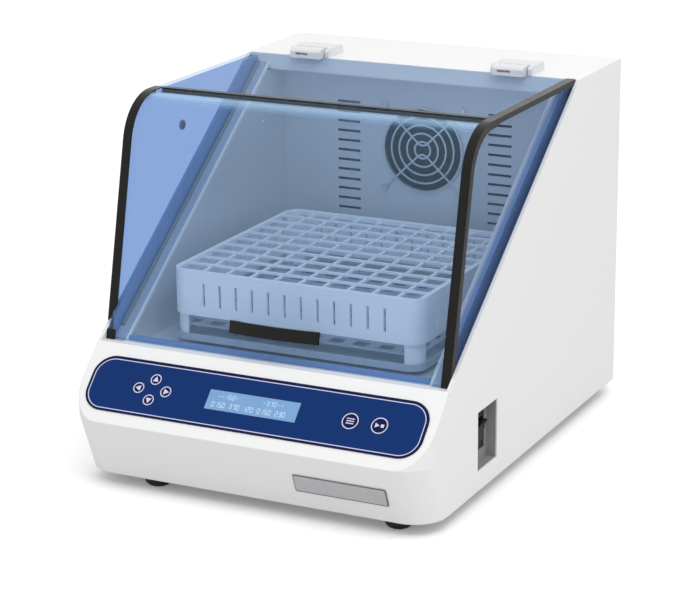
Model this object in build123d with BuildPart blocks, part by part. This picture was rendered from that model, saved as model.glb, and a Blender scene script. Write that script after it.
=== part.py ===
from build123d import *
from math import atan2, cos, degrees, hypot, radians, sin, sqrt, tan
import os

# Benchtop incubator shaker: a heated chamber under a tinted clear hood,
# with a tube rack on a tray that an eccentric drive under the floor carries
# round in a small level circle. Millimetres; X runs to the right, Y to the
# back, Z up. The origin is on the bench, under the middle of the housing.

# Housing
housing_w = 440.0       # across the side walls
housing_d = 584.0       # front lip to back
housing_h = 411.0       # underside to top panel
foot_h = 15.0           # the underside stands this far above the bench
shell_wall = 2.0
base_t = 2.4            # base plate
corner_r = 38.0         # upright front corners, seen from above
lip_h = 70.5            # front lip above the underside
toe_in = 29.0           # how far the front face leans back at the bottom
sill_y = 72.5           # front edge of the hood opening, behind the lip
sill_h = 142.0
top_panel_d = 141.0     # top panel, front to back
top_lip = 19.0          # folded-down front edge of the top panel
rim_w = 2.0             # upright rim of the opening frame, beside the shell
rebate = 9.0            # depth of the flange that the hood rests on
sill_drop = 1.4         # the sill lies this far under the shell's front edge
sill_depth = 27.0
flange_t = 2.5
return_w = 12.0         # folded-in edges that the covers screw to

# Chamber
liner_inset = 30.0      # from the housing's side to the chamber's inside
rear_bay = 102.0        # from the chamber's back wall to the housing's back
liner_drop = 12.0       # the chamber's floor under the sill
liner_t = 1.0
slot_rows = 12
slot_pitch = 12.35
slot_w = 31.0
slot_h = 3.2
slot_rise = 52.0        # top louvre above the fan's middle
slot_x = 102.0          # middle of each louvre column
fan_x = 2.0
fan_drop = 94.0         # the fan's middle under the chamber's ceiling
fan_size = 120.0
fan_hole_pitch = 105.0
fan_depth = 38.0
guard_ring_r = (10.5, 21.0, 31.5, 42.0, 52.5)
guard_wire = 2.2

# Hood
hood_lean = 13.06       # front sheet, degrees from upright
hood_gap = 1.3          # between the hood's side and the frame's rim
sheet_t = 4.0
hood_front_y = 83.8     # outer face at the bottom edge
seat_gap = 0.4
hood_bend_r = 60.0
seam_back = 12.9        # seam behind the end of the bend
seam_w = 8.0
stiffener_w = 22.0
trim_face = 10.0
trim_side = 8.0         # down the side, on the front edges
top_trim_side = 5.5
trim_t = 1.0
guard_h = 40.0          # right-hand corner guard, above the sill
top_gap = 1.5           # hood's rear edge to the top panel
handle_w = 110.0
handle_h = 14.0
handle_rise = 32.0      # handle's middle above the sill
handle_bow = 10.0
handle_t = 5.0
hinge_inset = 86.0      # from the housing's side to the hinge's middle
hinge_w = 40.0
hinge_ear = 5.0
hinge_back = 3.0        # pin behind the top panel's front edge
hinge_rise = 6.0
hinge_h = 10.5
hinge_d = 37.0          # pin to the base's back edge
hinge_r = 5.6
hinge_pin_r = 2.0

# Control panel
membrane_inset = 11.0   # from the housing's side
membrane_h = 69.0
membrane_r = 25.0
membrane_t = 1.2
panel_mid = 49.5        # height of the key row, up the slope from the lip
lcd_w = 113.0
lcd_h = 24.4
arrow_inset = 82.0      # arrow keys' middle from the overlay's left end
arrow_step_x = 17.5
arrow_step_v = 13.0
arrow_r = 7.3
menu_inset = 89.0       # round keys, from its right end
start_inset = 54.0
round_r = 10.3
key_travel = 0.4
key_gap = 0.3
board_gap = 12.0        # from the panel's face to the circuit board

# Tray, rack and drive
orbit_r = 10.0
orbit_shift = 3.25      # drive shaft behind the chamber's middle
tray_rise = 5.0         # above the chamber's floor
tray_lip = 8.0
tray_t = 2.0
rack_side = 32.0        # chamber wall to the rack, each side
rack_end = 42.25        # the same in front and behind, with the drive in mid swing
rack_h = 83.5
rack_skirt = 53.0
rack_t = 2.0
rack_corner_r = 19.0
rack_cells = 10
rack_rim = 6.0          # flat top rim round the cells
bar_w = 3.4
bar_h = 3.0
shelf_rise = 17.0       # above the tray
plate_drop = 26.0       # underside of the drive plate, under the chamber's floor
plate_t = 6.0
pin_r = 6.0
idler_pin_r = 5.0
shaft_r = 7.5
idler_shaft_r = 6.0
run_gap = 0.05          # radial running clearance
pulley_r = 55.0
motor_pulley_r = 14.0
motor_inset = 110.0     # from the housing's side
motor_clear = 32.0      # motor's shaft behind the drive plate
post_r = 7.0

front = -housing_d / 2
half_w = housing_w / 2
inner_w = half_w - shell_wall
top_edge_y = housing_d - top_panel_d
ceiling = housing_h - top_lip
sill_z = sill_h - sill_drop
sill_back = sill_y + sill_depth
liner_floor = sill_h - liner_drop
tray_z = liner_floor + tray_rise
shelf_z = tray_z + shelf_rise
rack_top = tray_z + rack_h
plate_z = liner_floor - plate_drop
handle_z = sill_h + handle_rise
guard_top = sill_h + guard_h
liner_w = housing_w - 2 * liner_inset
liner_front = sill_back - 2.0
liner_back = housing_d - rear_bay
chamber_d = liner_back - liner_front
fan_h = ceiling - fan_drop
slot_top = fan_h + slot_rise
rack_w = liner_w - 2 * rack_side
rack_d = chamber_d - 2 * rack_end
tray_w = rack_w
tray_d = rack_d
orbit_y = liner_front + chamber_d / 2 + orbit_shift
plate_w = rack_w - 56
plate_d = rack_d - 90
idler_x = plate_w / 2 - 30
post_x = plate_w / 2 - 70
post_y = plate_d / 2 - 20
motor_x = half_w - motor_inset
motor_back = plate_d / 2 + motor_clear
motor_y = orbit_y + motor_back
hinge_x = half_w - hinge_inset
hinge_y = top_edge_y + hinge_back
hinge_z = housing_h + hinge_rise
membrane_w = housing_w - 2 * membrane_inset
arrow_x = arrow_inset - membrane_w / 2
menu_x = membrane_w / 2 - menu_inset
start_x = membrane_w / 2 - start_inset
open_angle = atan2(housing_h - sill_h, top_edge_y - sill_y)
panel_len = hypot(sill_y, sill_h - lip_h)
tray_y = orbit_y - orbit_r
hood_half = inner_w - rim_w - hood_gap
lean = radians(hood_lean)


def plan(h):
    """Level plane, h above the housing's underside, with its origin under the front lip."""
    return Plane(origin=(0, front, foot_h + h))


def side(x):
    """Upright plane across the object at x: local x runs to the back, local y up."""
    return Plane(origin=(x, front, foot_h), x_dir=(0, 1, 0), z_dir=(1, 0, 0))


def across(y):
    """Upright plane at a depth y behind the lip, facing the front."""
    return Plane(origin=(0, front + y, foot_h), x_dir=(1, 0, 0), z_dir=(0, -1, 0))


def sloped(y, h, dy, dh):
    """Plane facing outwards from a slope that starts at y, h and climbs by dy, dh."""
    return Plane(origin=(0, front + y, foot_h + h), x_dir=(1, 0, 0), z_dir=(0, -dh, dy))


def slope_h(y, depth=0.0):
    """Height of the hood opening's slope at y, or of a plane at a depth under it."""
    return sill_h + (y - sill_y) * tan(open_angle) - depth / cos(open_angle)


def slope_y(h, depth=0.0):
    return sill_y + (h - sill_h + depth / cos(open_angle)) / tan(open_angle)


panel_face = sloped(0, lip_h, sill_y, sill_h - lip_h)
front_face = sloped(toe_in, 0, -toe_in, lip_h)


def save(part, name):
    part.label = name
    export_step(part, f"parts/{name}.step")


def outline(y, inset):
    """The housing seen from above, with its front at y and rounded front corners."""
    depth = housing_d - y
    with BuildSketch() as shape:
        with Locations((0, y + depth / 2)):
            Rectangle(housing_w - 2 * inset, depth)
        fillet(shape.vertices().group_by(Axis.Y)[0], corner_r - inset)
    return shape.sketch


os.makedirs("parts", exist_ok=True)

def housing_form(inset, profile):
    """Body of the housing, drawn in by inset, kept inside a side profile."""
    with BuildSketch(side(-housing_w)) as cut:
        with BuildLine():
            Polyline(*profile, close=True)
        make_face()
    with BuildPart() as body:
        shift = inset / cos(atan2(toe_in, lip_h))
        with BuildSketch(plan(0)):
            add(outline(toe_in + shift, inset))
        with BuildSketch(plan(lip_h)):
            add(outline(shift, inset))
        loft()
        with BuildSketch(plan(lip_h)):
            add(outline(shift, inset))
        extrude(amount=housing_h - lip_h + 20)
        extrude(cut.sketch, amount=2 * housing_w, mode=Mode.INTERSECT)
    return body.part


# Housing shell: one bent and welded sheet body, open at the back, underneath and at the hood.
panel_rise = (sill_h - lip_h) / sill_y
panel_drop = shell_wall / cos(atan2(sill_h - lip_h, sill_y))
outer = housing_form(0, [(-20, 0), (-20, lip_h - 20 * panel_rise), (sill_y, sill_h), (top_edge_y, housing_h),
                         (housing_d, housing_h), (housing_d, 0)])
inner = housing_form(shell_wall, [(-20, -1), (-20, lip_h - 20 * panel_rise - panel_drop),
                                  (sill_y, sill_h - panel_drop), (sill_y, housing_h + 15),
                                  (top_edge_y, housing_h + 15), (top_edge_y, housing_h - top_lip),
                                  (top_edge_y + shell_wall, housing_h - top_lip),
                                  (top_edge_y + shell_wall, housing_h - shell_wall),
                                  (housing_d + 5, housing_h - shell_wall), (housing_d + 5, -1)])
key_places = [(arrow_x, panel_mid + arrow_step_v, arrow_r), (arrow_x, panel_mid - arrow_step_v, arrow_r),
              (arrow_x - arrow_step_x, panel_mid, arrow_r), (arrow_x + arrow_step_x, panel_mid, arrow_r),
              (menu_x, panel_mid, round_r), (start_x, panel_mid, round_r)]
key_names = ["key_up", "key_down", "key_left", "key_right", "key_menu", "key_start"]
stem_r = 2.0
window_w = lcd_w + 1.0
window_h = lcd_h + 1.0
pocket = (150.0, 204.5, 23.5, 93.0)      # front, back, bottom and top of the switch recess
pocket_depth = 13.0
with BuildPart() as housing_shell:
    add(outer)
    add(inner, mode=Mode.SUBTRACT)
    # returns round the back and the underside
    with BuildSketch(across(housing_d - 4)):
        with Locations((0, housing_h / 2)):
            Rectangle(2 * inner_w + 1, housing_h - 2 * shell_wall + 1)
            Rectangle(2 * inner_w - 2 * return_w, housing_h - 2 * shell_wall - 2 * return_w, mode=Mode.SUBTRACT)
    extrude(amount=shell_wall)
    with BuildSketch(plan(base_t)):
        add(outline(toe_in + 0.5, shell_wall))
        with Locations((0, (toe_in + housing_d) / 2)):
            Rectangle(2 * inner_w - 2 * return_w, housing_d - toe_in - 2 * return_w - 12, mode=Mode.SUBTRACT)
        with Locations((0, housing_d)):
            Rectangle(housing_w, 8.0, mode=Mode.SUBTRACT)
    extrude(amount=shell_wall)
    # openings for the display, the key stems and the switch recess
    with BuildSketch(panel_face):
        with Locations((0, panel_mid)):
            Rectangle(window_w, window_h)
        with Locations([(x, v) for x, v, r in key_places]):
            Circle(stem_r + 1)
    extrude(amount=-3 * shell_wall, mode=Mode.SUBTRACT)
    with BuildSketch(side(half_w)):
        with Locations(((pocket[0] + pocket[1]) / 2, (pocket[2] + pocket[3]) / 2)):
            Rectangle(pocket[1] - pocket[0], pocket[3] - pocket[2])
    extrude(amount=-2 * shell_wall, mode=Mode.SUBTRACT)
save(housing_shell.part, "housing_shell")

# Rear cover: a flat panel let in between the shell's edges, with vents and the inlet's cut-out.
cover_gap = 0.3
cover_y = housing_d - 4
inlet = (80.0 - half_w, 60.0, 48.0, 27.5)       # place, width and height of the mains inlet
cover_screws_at = [(x, h) for x in (-inner_w + 6, inner_w - 6) for h in (20, housing_h / 2, housing_h - 20)]
vent_w = 60.0
with BuildPart() as rear_cover:
    with BuildSketch(across(cover_y + shell_wall)):
        with Locations((0, housing_h / 2)):
            Rectangle(2 * inner_w - 2 * cover_gap, housing_h - 2 * shell_wall - 2 * cover_gap)
        with Locations((inlet[0], inlet[1])):
            Rectangle(inlet[2] - 6, inlet[3] - 4, mode=Mode.SUBTRACT)
        with Locations((0, 105)):
            with GridLocations(vent_w + 20, 9, 3, 7):
                SlotOverall(vent_w, 3.5, mode=Mode.SUBTRACT)
        with Locations(cover_screws_at):
            Circle(1.6, mode=Mode.SUBTRACT)
    extrude(amount=shell_wall)
save(rear_cover.part, "rear_cover")

# Base plate: a steel tray floor inside the shell, with cooling slots, and four moulded feet under it.
foot_x = half_w - 52
feet_at = [(33 - foot_x, 56), (foot_x, 56), (-foot_x, housing_d - 45), (foot_x, housing_d - 45)]
with BuildPart() as base_plate:
    with BuildSketch(plan(0)):
        add(outline(toe_in + 3.0, shell_wall + cover_gap))
        with Locations((0, housing_d)):
            Rectangle(housing_w, 12.6, mode=Mode.SUBTRACT)
        with Locations((0, 130), (0, housing_d - 60)):
            with GridLocations(40, 12, 4, 3):
                SlotOverall(30, 4, mode=Mode.SUBTRACT)
    extrude(amount=base_t)
save(base_plate.part, "base_plate")

foot_r = 17.0
with BuildPart() as rubber_feet:
    for x, y in feet_at:
        with BuildSketch(Plane(origin=(x, front + y, foot_h), x_dir=(1, 0, 0), z_dir=(0, -1, 0))):
            with BuildLine():
                Polyline((0, -foot_h), (foot_r - 9, -foot_h))
                RadiusArc((foot_r - 9, -foot_h), (foot_r - 0.5, -foot_h + 8), -9.2)
                Polyline((foot_r - 0.5, -foot_h + 8), (foot_r, 0), (0, 0), (0, -foot_h))
            make_face()
        revolve(axis=Axis((x, front + y, 0), (0, 0, 1)))
save(rubber_feet.part, "rubber_feet")

# Opening frame: moulded white flange that the hood's slanted edges rest on, with a level sill in front.
frame_inner = liner_w / 2 - 0.5
flange_y = hood_front_y + sheet_t / cos(lean) + 0.4
with BuildPart() as opening_frame:
    for x0, x1 in ((frame_inner, inner_w), (-inner_w, -frame_inner)):
        with BuildSketch(side(x0)):
            with BuildLine():
                Polyline((flange_y, slope_h(flange_y, rebate)), (top_edge_y, slope_h(top_edge_y, rebate)),
                         (top_edge_y, slope_h(top_edge_y, rebate + flange_t)),
                         (flange_y, slope_h(flange_y, rebate + flange_t)), close=True)
            make_face()
        extrude(amount=x1 - x0)
    for x0 in (inner_w - rim_w, -inner_w):
        with BuildSketch(side(x0)):
            with BuildLine():
                Polyline((sill_y, slope_h(sill_y)), (top_edge_y, housing_h),
                         (top_edge_y, slope_h(top_edge_y, rebate + 1)),
                         (sill_y, slope_h(sill_y, rebate + 1)), close=True)
            make_face()
        extrude(amount=rim_w)
    # down-turned inner edge beside the liner
    for x0 in (frame_inner, -frame_inner - 1.4):
        with BuildSketch(side(x0)):
            with BuildLine():
                Polyline((sill_back, slope_h(sill_back, rebate - 1.2)), (top_edge_y, slope_h(top_edge_y, rebate - 1.2)),
                         (top_edge_y, slope_h(top_edge_y, rebate + 1)),
                         (sill_back, slope_h(sill_back, rebate + 1)), close=True)
            make_face()
        extrude(amount=1.4)
    with BuildSketch(side(-inner_w)):
        with BuildLine():
            Polyline((sill_y, sill_z), (sill_back, sill_z), (sill_back, sill_z - flange_t),
                     (sill_y, sill_z - flange_t), close=True)
        make_face()
    extrude(amount=2 * inner_w)
    # nothing of the flanges stays under the sill
    with BuildSketch(side(-inner_w)):
        with BuildLine():
            Polyline((0, sill_z - flange_t), (sill_back + 10, sill_z - flange_t), (sill_back + 10, 0), (0, 0),
                     close=True)
        make_face()
    extrude(amount=2 * inner_w, mode=Mode.SUBTRACT)
save(opening_frame.part, "opening_frame")

# Opening seal: a soft white bead bonded along both flanges, just inside the hood's stiffeners.
seal_x = hood_half - 2 * sheet_t - 3.0
seal_w = 3.0
seal_h = 3.2
with BuildPart() as opening_seal:
    for x0 in (seal_x - seal_w / 2, -seal_x - seal_w / 2):
        with BuildSketch(side(x0)):
            with BuildLine():
                Polyline((sill_back + 2, slope_h(sill_back + 2, rebate)), (top_edge_y - 3, slope_h(top_edge_y - 3, rebate)),
                         (top_edge_y - 3, slope_h(top_edge_y - 3, rebate - seal_h)),
                         (sill_back + 2, slope_h(sill_back + 2, rebate - seal_h)), close=True)
            make_face()
        extrude(amount=seal_w)
save(opening_seal.part, "opening_seal")

# Chamber liner: folded stainless box, open at the slope, louvred and bored for the fan at the back.
floor_holes = [(x, orbit_y + y) for x in (-post_x, post_x) for y in (-post_y, post_y)]
wall_screws = [(fan_x - slot_x - 31, slot_top + 9), (fan_x + slot_x + 31, slot_top + 9)]
wall_dot = (liner_back - 58.0, fan_h + 29.0)
with BuildPart() as chamber_liner:
    with BuildSketch(side(-liner_w / 2 - liner_t)):
        with BuildLine():
            Polyline((liner_front, liner_floor - liner_t), (liner_back + liner_t, liner_floor - liner_t),
                     (liner_back + liner_t, ceiling), (top_edge_y, ceiling),
                     (top_edge_y, ceiling - liner_t - 1),
                     (slope_y(ceiling - liner_t - 1, rebate + flange_t), ceiling - liner_t - 1),
                     (sill_back, slope_h(sill_back, rebate + flange_t)), (sill_back, sill_z - flange_t),
                     (liner_front, sill_z - flange_t), close=True)
        make_face()
    extrude(amount=liner_w + 2 * liner_t)
    with BuildSketch(side(-liner_w / 2)):
        with BuildLine():
            Polyline((liner_front + liner_t, liner_floor), (liner_back, liner_floor),
                     (liner_back, ceiling - liner_t), (top_edge_y - 60, ceiling - liner_t),
                     (liner_front + liner_t, sill_h), close=True)
        make_face()
        with BuildLine():
            Polyline((liner_front + liner_t, sill_h - 8), (top_edge_y - 1, ceiling - liner_t),
                     (top_edge_y - 60, ceiling + 20), (liner_front + liner_t, sill_h + 40), close=True)
        make_face()
    extrude(amount=liner_w, mode=Mode.SUBTRACT)
    with BuildSketch(across(liner_back)):
        for x in (fan_x - slot_x, fan_x + slot_x):
            with Locations((x, slot_top - (slot_rows - 1) * slot_pitch / 2)):
                with GridLocations(1, slot_pitch, 1, slot_rows):
                    Rectangle(slot_w, slot_h)
        with Locations((fan_x, fan_h)):
            Circle(guard_ring_r[-1] - 1)
    extrude(amount=-2 * liner_t, mode=Mode.SUBTRACT)
    with BuildSketch(plan(liner_floor + 1)):
        with Locations(floor_holes):
            Circle(post_r + orbit_r + 4)
    extrude(amount=-3 * liner_t, mode=Mode.SUBTRACT)
save(chamber_liner.part, "chamber_liner")

# Screws: two low heads on the chamber's back wall, one each side, the fan's four and the rear cover's six.
with BuildPart() as case_screws:
    with BuildSketch(across(liner_back)):
        with Locations(wall_screws):
            Circle(2.4)
        with Locations((fan_x, fan_h)):
            with GridLocations(fan_hole_pitch, fan_hole_pitch, 2, 2):
                Circle(3.2)
    extrude(amount=1.6)
    for x0, step in ((-liner_w / 2, 1.6), (liner_w / 2, -1.6)):
        with BuildSketch(side(x0)):
            with Locations(wall_dot):
                Circle(2.4)
        extrude(amount=step)
    with BuildSketch(across(cover_y + shell_wall)):
        with Locations(cover_screws_at):
            Circle(3.2)
    extrude(amount=-1.6)
    with BuildSketch(across(cover_y + shell_wall)):
        with Locations(cover_screws_at):
            Circle(1.5)
    extrude(amount=shell_wall)
save(case_screws.part, "case_screws")

# Fan guard: five wire rings on two bent cross wires that run to the corner screws.
guard_y = liner_back - 1.8
with BuildPart() as fan_guard:
    for r in guard_ring_r:
        with BuildSketch(across(guard_y)):
            with Locations((fan_x, fan_h)):
                Circle(r + guard_wire / 2)
                Circle(r - guard_wire / 2, mode=Mode.SUBTRACT)
        extrude(amount=guard_wire / 2, both=True)
    reach = fan_hole_pitch / 2 - 3.2
    for way in (1, -1):
        with BuildLine(across(guard_y)) as wire:
            FilletPolyline((fan_x - reach, fan_h + way * reach), (fan_x, fan_h + way * 2.5),
                           (fan_x + reach, fan_h + way * reach), radius=9)
        with BuildSketch(Plane(origin=wire.line @ 0, z_dir=wire.line % 0)):
            Rectangle(guard_wire, guard_wire)
        sweep(path=wire.line)
    with BuildSketch(across(guard_y)):
        with Locations((fan_x, fan_h)):
            with GridLocations(fan_hole_pitch, fan_hole_pitch, 2, 2):
                Circle(4.6)
                Circle(3.4, mode=Mode.SUBTRACT)
    extrude(amount=guard_wire / 2, both=True)
save(fan_guard.part, "fan_guard")

# Circulation fan: square frame behind the wall, with struts, and its impeller.
fan_front = liner_back + liner_t
with BuildPart() as fan_frame:
    with BuildSketch(across(fan_front)):
        with Locations((fan_x, fan_h)):
            RectangleRounded(fan_size, fan_size, 6)
            Circle(fan_size / 2 - 3, mode=Mode.SUBTRACT)
            with GridLocations(fan_hole_pitch, fan_hole_pitch, 2, 2):
                Circle(2.2, mode=Mode.SUBTRACT)
    extrude(amount=-fan_depth)
    with BuildSketch(across(fan_front + fan_depth)):
        with Locations((fan_x, fan_h)):
            Circle(20)
            Rectangle(fan_size - 4, 5)
            Rectangle(5, fan_size - 4)
            Circle(3, mode=Mode.SUBTRACT)
    extrude(amount=4)
save(fan_frame.part, "fan_frame")

blade_count = 7
with BuildPart() as fan_impeller:
    with BuildSketch(across(fan_front + fan_depth - 6)):
        with Locations((fan_x, fan_h)):
            Circle(20)
    extrude(amount=24)
    fillet(fan_impeller.edges().filter_by(GeomType.CIRCLE).sort_by(Axis.Y)[0], 2)
    with BuildSketch(across(fan_front + fan_depth)):
        with Locations((fan_x, fan_h)):
            Circle(3 - run_gap)
    extrude(amount=8)
    for i in range(blade_count):
        turn = 360 / blade_count * i
        root = Plane(origin=(fan_x, front + fan_front + fan_depth - 17, foot_h + fan_h),
                     x_dir=(0, 1, 0), z_dir=(cos(radians(turn)), 0, sin(radians(turn))))
        with BuildSketch(root.offset(17)):
            Rectangle(20, 1.8, rotation=48)
        with BuildSketch(root.offset(54)):
            with Locations((0, 4)):
                Rectangle(22, 1.6, rotation=30)
        loft()
save(fan_impeller.part, "fan_impeller")

# Air duct: a folded tray on the liner's back that guides the fan's air over the heater to the louvres.
duct_w = 2 * (slot_x + slot_w / 2 + 17.5)
duct_bottom = fan_h - 102.0
duct_top = fan_h + 74.0
duct_depth = 62.0
with BuildPart() as air_duct:
    with BuildSketch(across(fan_front)):
        with Locations((fan_x, (duct_bottom + duct_top) / 2)):
            Rectangle(duct_w, duct_top - duct_bottom)
    extrude(amount=-duct_depth)
    with BuildSketch(across(fan_front)):
        with Locations((fan_x, (duct_bottom + duct_top) / 2)):
            Rectangle(duct_w - 2 * liner_t, duct_top - duct_bottom - 2 * liner_t)
    extrude(amount=-duct_depth + liner_t, mode=Mode.SUBTRACT)
save(air_duct.part, "air_duct")

# Heater: a sheathed element bent in a U behind the fan, on a mounting strip at one end.
heater_y = fan_front + fan_depth + 10
heater_h = fan_h - 34
heater_left = fan_x - duct_w / 2 + 17
heater_right = fan_x + duct_w / 2 - 25
with BuildPart() as heater_element:
    with BuildLine(across(heater_y)) as bend:
        FilletPolyline((heater_left, heater_h - 40), (heater_right, heater_h - 40),
                       (heater_right, heater_h + 74), (heater_left, heater_h + 74), radius=24)
    with BuildSketch(Plane(origin=bend.line @ 0, z_dir=bend.line % 0)):
        Circle(4)
    sweep(path=bend.line)
    with BuildSketch(across(heater_y + 5)):
        with Locations((heater_left, heater_h + 17)):
            Rectangle(14, 140)
    extrude(amount=10)
    with BuildSketch(across(heater_y + 5)):
        with Locations((heater_left, heater_h - 10), (heater_left, heater_h + 50)):
            Rectangle(10, 10)
    extrude(amount=-(fan_front + duct_depth - liner_t - heater_y - 5))
save(heater_element.part, "heater_element")

# Control membrane: the raised, rounded overlay on the control slope, cut out for display and keys.
with BuildPart() as control_membrane:
    with BuildSketch(panel_face):
        with Locations((0, 50.0)):
            RectangleRounded(membrane_w, membrane_h, membrane_r)
        with Locations((0, panel_mid)):
            Rectangle(lcd_w, lcd_h, mode=Mode.SUBTRACT)
        for x, v, r in key_places:
            with Locations((x, v)):
                Circle(r + key_gap, mode=Mode.SUBTRACT)
    extrude(amount=membrane_t)
save(control_membrane.part, "control_membrane")

# Keys: shallow caps with a stem that reaches the tactile switch on the board.
cap_t = 0.9
for name, (x, v, r) in zip(key_names, key_places):
    with BuildPart() as key:
        with BuildSketch(panel_face.offset(membrane_t + 0.2 - cap_t)):
            with Locations((x, v)):
                Circle(r)
        extrude(amount=cap_t)
        with BuildSketch(panel_face.offset(membrane_t + 0.2 - cap_t)):
            with Locations((x, v)):
                Circle(stem_r)
        extrude(amount=-(board_gap / 2 + membrane_t + 0.2 - cap_t))
    save(key.part, name)

# Display: glass that fills the window, on its module behind the panel.
glass_drop = 0.3
module_t = 6.0
with BuildPart() as lcd_module:
    with BuildSketch(panel_face.offset(-shell_wall - module_t)):
        with Locations((0, panel_mid)):
            Rectangle(lcd_w + 14, lcd_h + 14)
    extrude(amount=module_t)
    with BuildSketch(panel_face.offset(-shell_wall)):
        with Locations((0, panel_mid)):
            Rectangle(lcd_w - 0.2, lcd_h - 0.2)
    extrude(amount=shell_wall + membrane_t - glass_drop)
save(lcd_module.part, "lcd_module")

# Control board: the circuit board behind the slope, with its switch blocks, stand-offs and drive chips.
board_w = 350.0
board_h = 62.0
with BuildPart() as control_board:
    with BuildSketch(panel_face.offset(-board_gap)):
        with Locations((0, panel_mid)):
            Rectangle(board_w, board_h)
    extrude(amount=-1.6)
    with BuildSketch(panel_face.offset(-board_gap)):
        with Locations([(x, v) for x, v, r in key_places]):
            Rectangle(6, 6)
    extrude(amount=board_gap / 2 - key_travel - 0.1)
    with BuildSketch(panel_face.offset(-board_gap)):
        with Locations((0, panel_mid)):
            with GridLocations(board_w - 12, board_h - 10, 2, 2):
                Circle(3)
    extrude(amount=board_gap - shell_wall)
    with BuildSketch(panel_face.offset(-board_gap)):
        with Locations((0, panel_mid)):
            Rectangle(60, 20)
    extrude(amount=board_gap - shell_wall - module_t)
    with BuildSketch(panel_face.offset(-board_gap - 1.6)):
        with Locations((-60, panel_mid), (40, panel_mid + 8), (110, panel_mid - 6)):
            Rectangle(18, 18)
    extrude(amount=-4)
save(control_board.part, "control_board")

# Nameplate: a bare raised plate on the leaning front face.
nameplate_x = 117.0
nameplate_v = 35.6
with BuildPart() as nameplate:
    with BuildSketch(sloped(toe_in, 0, -toe_in, lip_h)):
        with Locations((nameplate_x, nameplate_v)):
            RectangleRounded(112.5, 24.0, 2)
    extrude(amount=1.5)
    chamfer(nameplate.faces().sort_by(Axis.Y)[0].edges(), 0.5)
save(nameplate.part, "nameplate")

# Switch recess: a dark moulded pocket behind the hole in the right wall.
pocket_wall = 1.5
pocket_floor = half_w - pocket_depth
pocket_mid = ((pocket[0] + pocket[1]) / 2, (pocket[2] + pocket[3]) / 2)
switch_mid = (pocket_mid[0], 63.5)
bezel_w = 30.0
bezel_h = 49.0
with BuildPart() as switch_pocket:
    with BuildSketch(side(inner_w)):
        with Locations(pocket_mid):
            Rectangle(pocket[1] - pocket[0] + 2 * pocket_wall, pocket[3] - pocket[2] + 2 * pocket_wall)
    extrude(amount=-(inner_w - pocket_floor + pocket_wall))
    with BuildSketch(side(inner_w)):
        with Locations(pocket_mid):
            Rectangle(pocket[1] - pocket[0], pocket[3] - pocket[2])
    extrude(amount=-(inner_w - pocket_floor), mode=Mode.SUBTRACT)
    with BuildSketch(side(inner_w)):
        with Locations(switch_mid):
            Rectangle(bezel_w - 4, bezel_h - 4)
    extrude(amount=-40, mode=Mode.SUBTRACT)
save(switch_pocket.part, "switch_pocket")

# Power switch: bezel and body, and the rocker on its cross pivot.
rocker_w = 20.0
rocker_h = 23.6
rocker_tilt = 11.0
pivot_x = pocket_floor - 1.8
trunnion_r = 1.4
with BuildPart() as switch_body:
    with BuildSketch(side(pocket_floor)):
        with Locations(switch_mid):
            RectangleRounded(bezel_w, bezel_h, 1.5)
    extrude(amount=1.8)
    with BuildSketch(side(pocket_floor)):
        with Locations(switch_mid):
            Rectangle(bezel_w - 4.4, bezel_h - 4.4)
    extrude(amount=-22)
    with BuildSketch(side(pocket_floor + 1.8)):
        with Locations(switch_mid):
            Rectangle(rocker_w + 0.8, rocker_h + 2.8)
    extrude(amount=-14, mode=Mode.SUBTRACT)
    with BuildSketch(across(switch_mid[0])):
        with Locations((pivot_x, switch_mid[1])):
            Circle(trunnion_r + run_gap)
    extrude(amount=rocker_w / 2 + 1.6, both=True, mode=Mode.SUBTRACT)
save(switch_body.part, "switch_body")

pivot = Plane(origin=(pivot_x, front + switch_mid[0] + rocker_w / 2, foot_h + switch_mid[1]),
              x_dir=(cos(radians(rocker_tilt)), 0, -sin(radians(rocker_tilt))), z_dir=(0, -1, 0))
with BuildPart() as power_rocker:
    with BuildSketch(pivot):
        with BuildLine():
            Polyline((-3, -rocker_h / 2 + 0.6), (8.6, -rocker_h / 2 + 0.3), (6.2, -3))
            RadiusArc((6.2, -3), (6.2, 3), -9)
            Polyline((6.2, 3), (8.6, rocker_h / 2 - 0.3), (-3, rocker_h / 2 - 0.6), (-3, -rocker_h / 2 + 0.6))
        make_face()
    extrude(amount=rocker_w)
    with BuildSketch(pivot.offset(-1.4)):
        Circle(trunnion_r)
    extrude(amount=rocker_w + 2.8)
save(power_rocker.part, "power_rocker")

# Mains inlet on the rear cover, and the power supply on the base.
with BuildPart() as power_inlet:
    with BuildSketch(across(cover_y + shell_wall)):
        with Locations((inlet[0], inlet[1])):
            RectangleRounded(inlet[2], inlet[3], 3)
    extrude(amount=-2)
    with BuildSketch(across(cover_y + shell_wall)):
        with Locations((inlet[0], inlet[1])):
            Rectangle(inlet[2] - 7, inlet[3] - 5)
    extrude(amount=22)
    with BuildSketch(across(housing_d)):
        with Locations((inlet[0], inlet[1])):
            RectangleRounded(24.4, 16.6, 2.5)
    extrude(amount=17, mode=Mode.SUBTRACT)
    with BuildSketch(across(housing_d - 18)):
        with Locations((inlet[0] - 7, inlet[1] - 1), (inlet[0], inlet[1] + 3), (inlet[0] + 7, inlet[1] - 1)):
            Rectangle(2, 4)
    extrude(amount=-12)
save(power_inlet.part, "power_inlet")

frame_t = 3.0
frame_top = base_t + frame_t
supply_at = (102 - half_w, housing_d - 114)
with BuildPart() as power_supply:
    with BuildSketch(plan(base_t)):
        with Locations(supply_at):
            Rectangle(110, 80)
    extrude(amount=45)
    with BuildSketch(plan(base_t + 45)):
        with Locations(supply_at):
            with GridLocations(12, 1, 7, 1):
                SlotOverall(50, 4, rotation=90)
    extrude(amount=-3, mode=Mode.SUBTRACT)
save(power_supply.part, "power_supply")

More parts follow.
